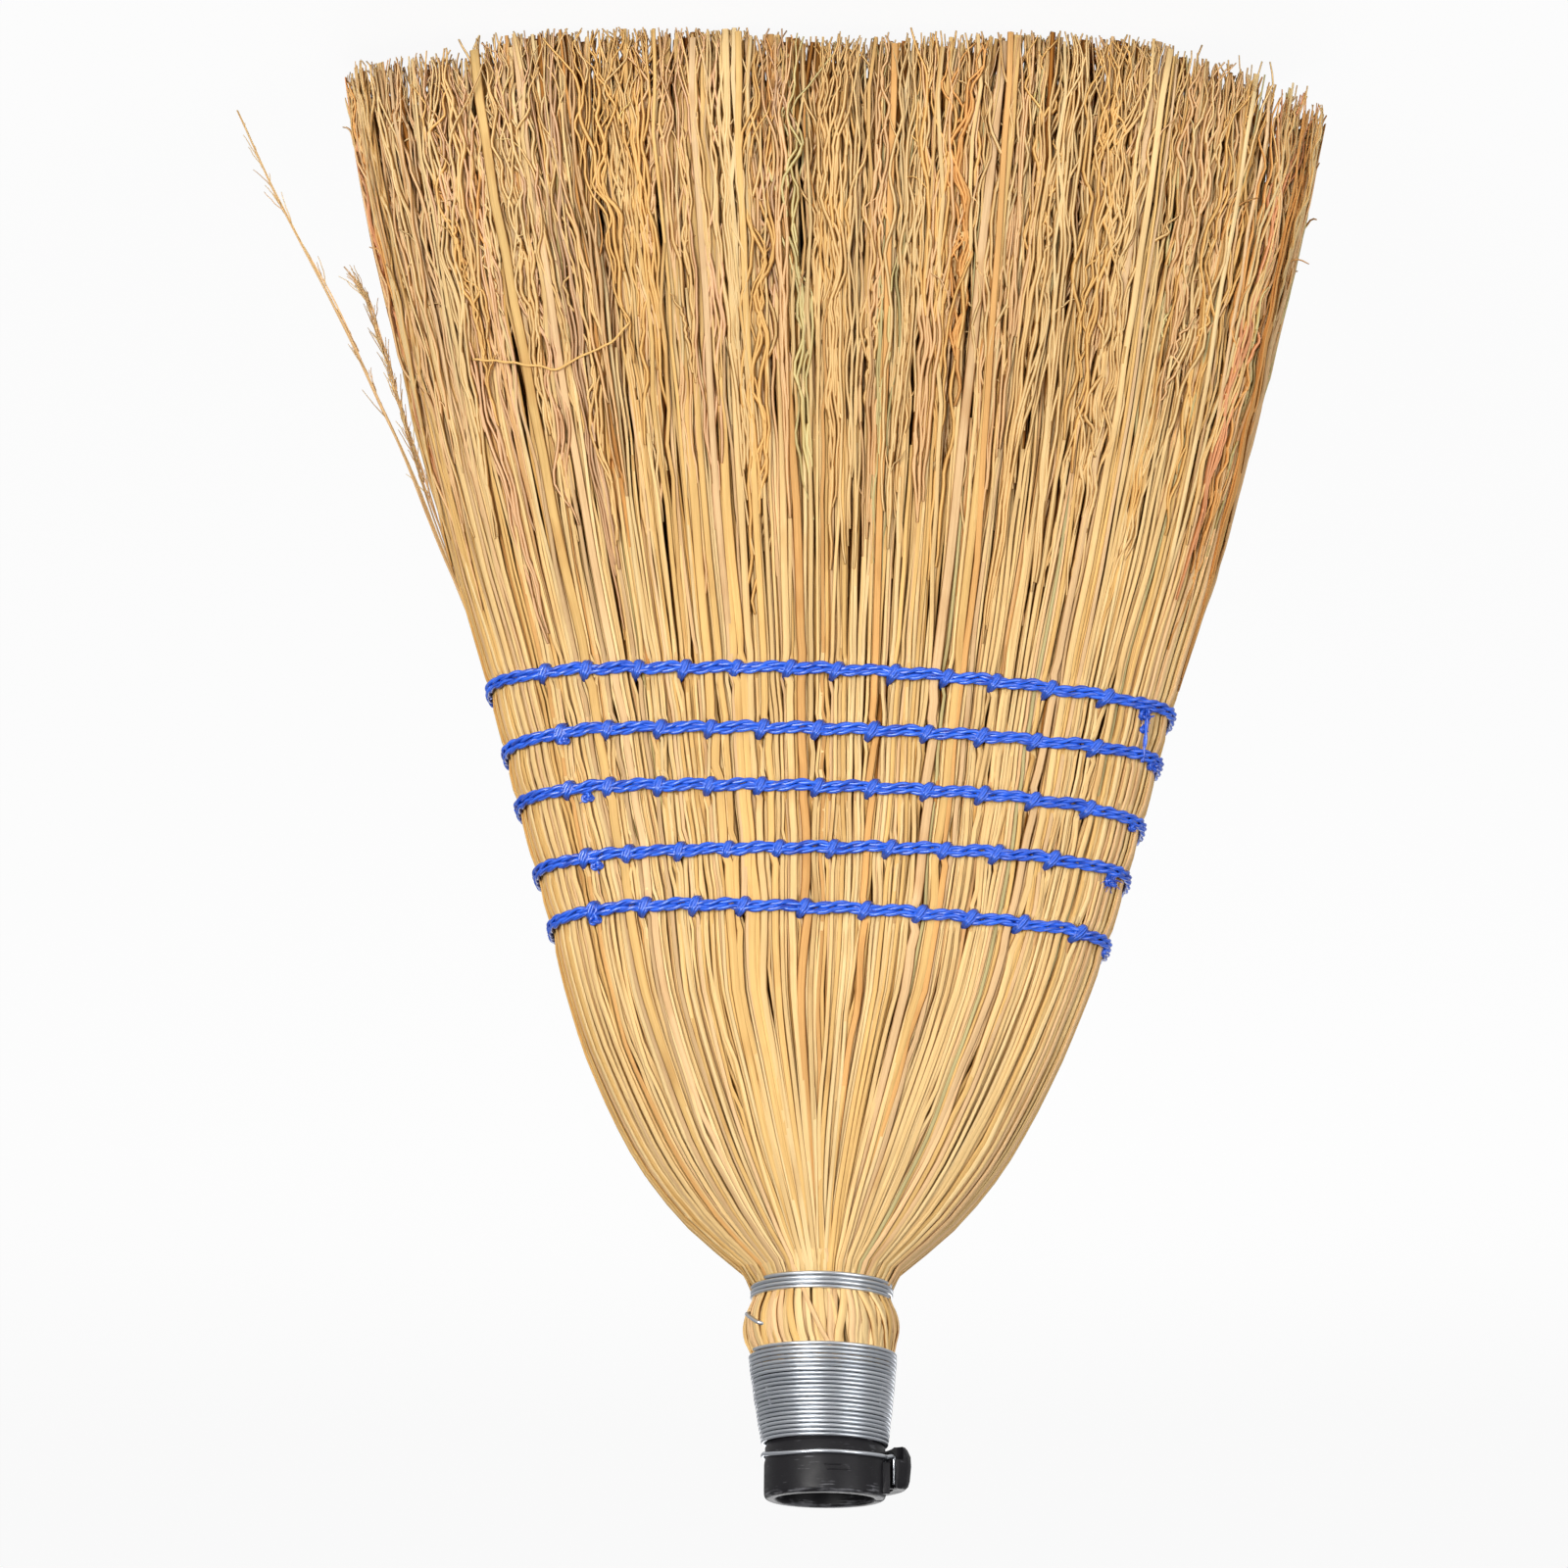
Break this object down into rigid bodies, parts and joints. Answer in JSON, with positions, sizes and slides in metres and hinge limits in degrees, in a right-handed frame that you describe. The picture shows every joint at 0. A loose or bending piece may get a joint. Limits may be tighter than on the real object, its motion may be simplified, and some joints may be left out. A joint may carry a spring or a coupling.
{
  "type": "stitched corn broom head",
  "caption": "Flat stitched straw broom head, wire-bound at the throat, with a plastic socket and lever clamp for a round broom handle.",
  "frame": {"origin": "on the handle socket's axis, at the level of the straw tips that sweep the floor", "axes": "+Z along the handle socket's axis, from the tips to the socket's mouth; +X along the broom's width, to the side of the stray straws; +Y through its thickness, to the side away from the picture's camera"},
  "size_m": [0.2913, 0.0565, 0.3866],
  "materials": {
    "straw": "dry plant fibre, dull",
    "twine": "twisted blue twine",
    "steel_wire": "galvanised, softly bright",
    "black_plastic": "moulded, scuffed satin"
  },
  "bodies": {
    "broom_head": {"back_straw": "straw", "clamp_wire": "steel_wire", "front_straw": "straw", "handle_socket": "black_plastic", "inner_straw": "straw", "left_side_straw": "straw", "long_stray_straw": "straw", "neck_straw": "straw", "neck_winding": "steel_wire", "right_side_straw": "straw", "sewing_twine_1": "twine", "sewing_twine_2": "twine", "sewing_twine_3": "twine", "sewing_twine_4": "twine", "sewing_twine_5": "twine", "short_stray_straw": "straw", "throat_ring": "steel_wire", "twine_band_1": "twine", "twine_band_2": "twine", "twine_band_3": "twine", "twine_band_4": "twine", "twine_band_5": "twine", "winding_wire_end": "steel_wire"},
    "lever": {"clamp_lever": "black_plastic"}
  },
  "joints": [
    {"name": "clamp_lever_hinge", "type": "hinge", "parent": "broom_head", "child": "lever", "pos_m": [-0.017, -0.001, 0.38], "axis": [0, 0, 1], "range_deg": [0, 105]}
  ]
}
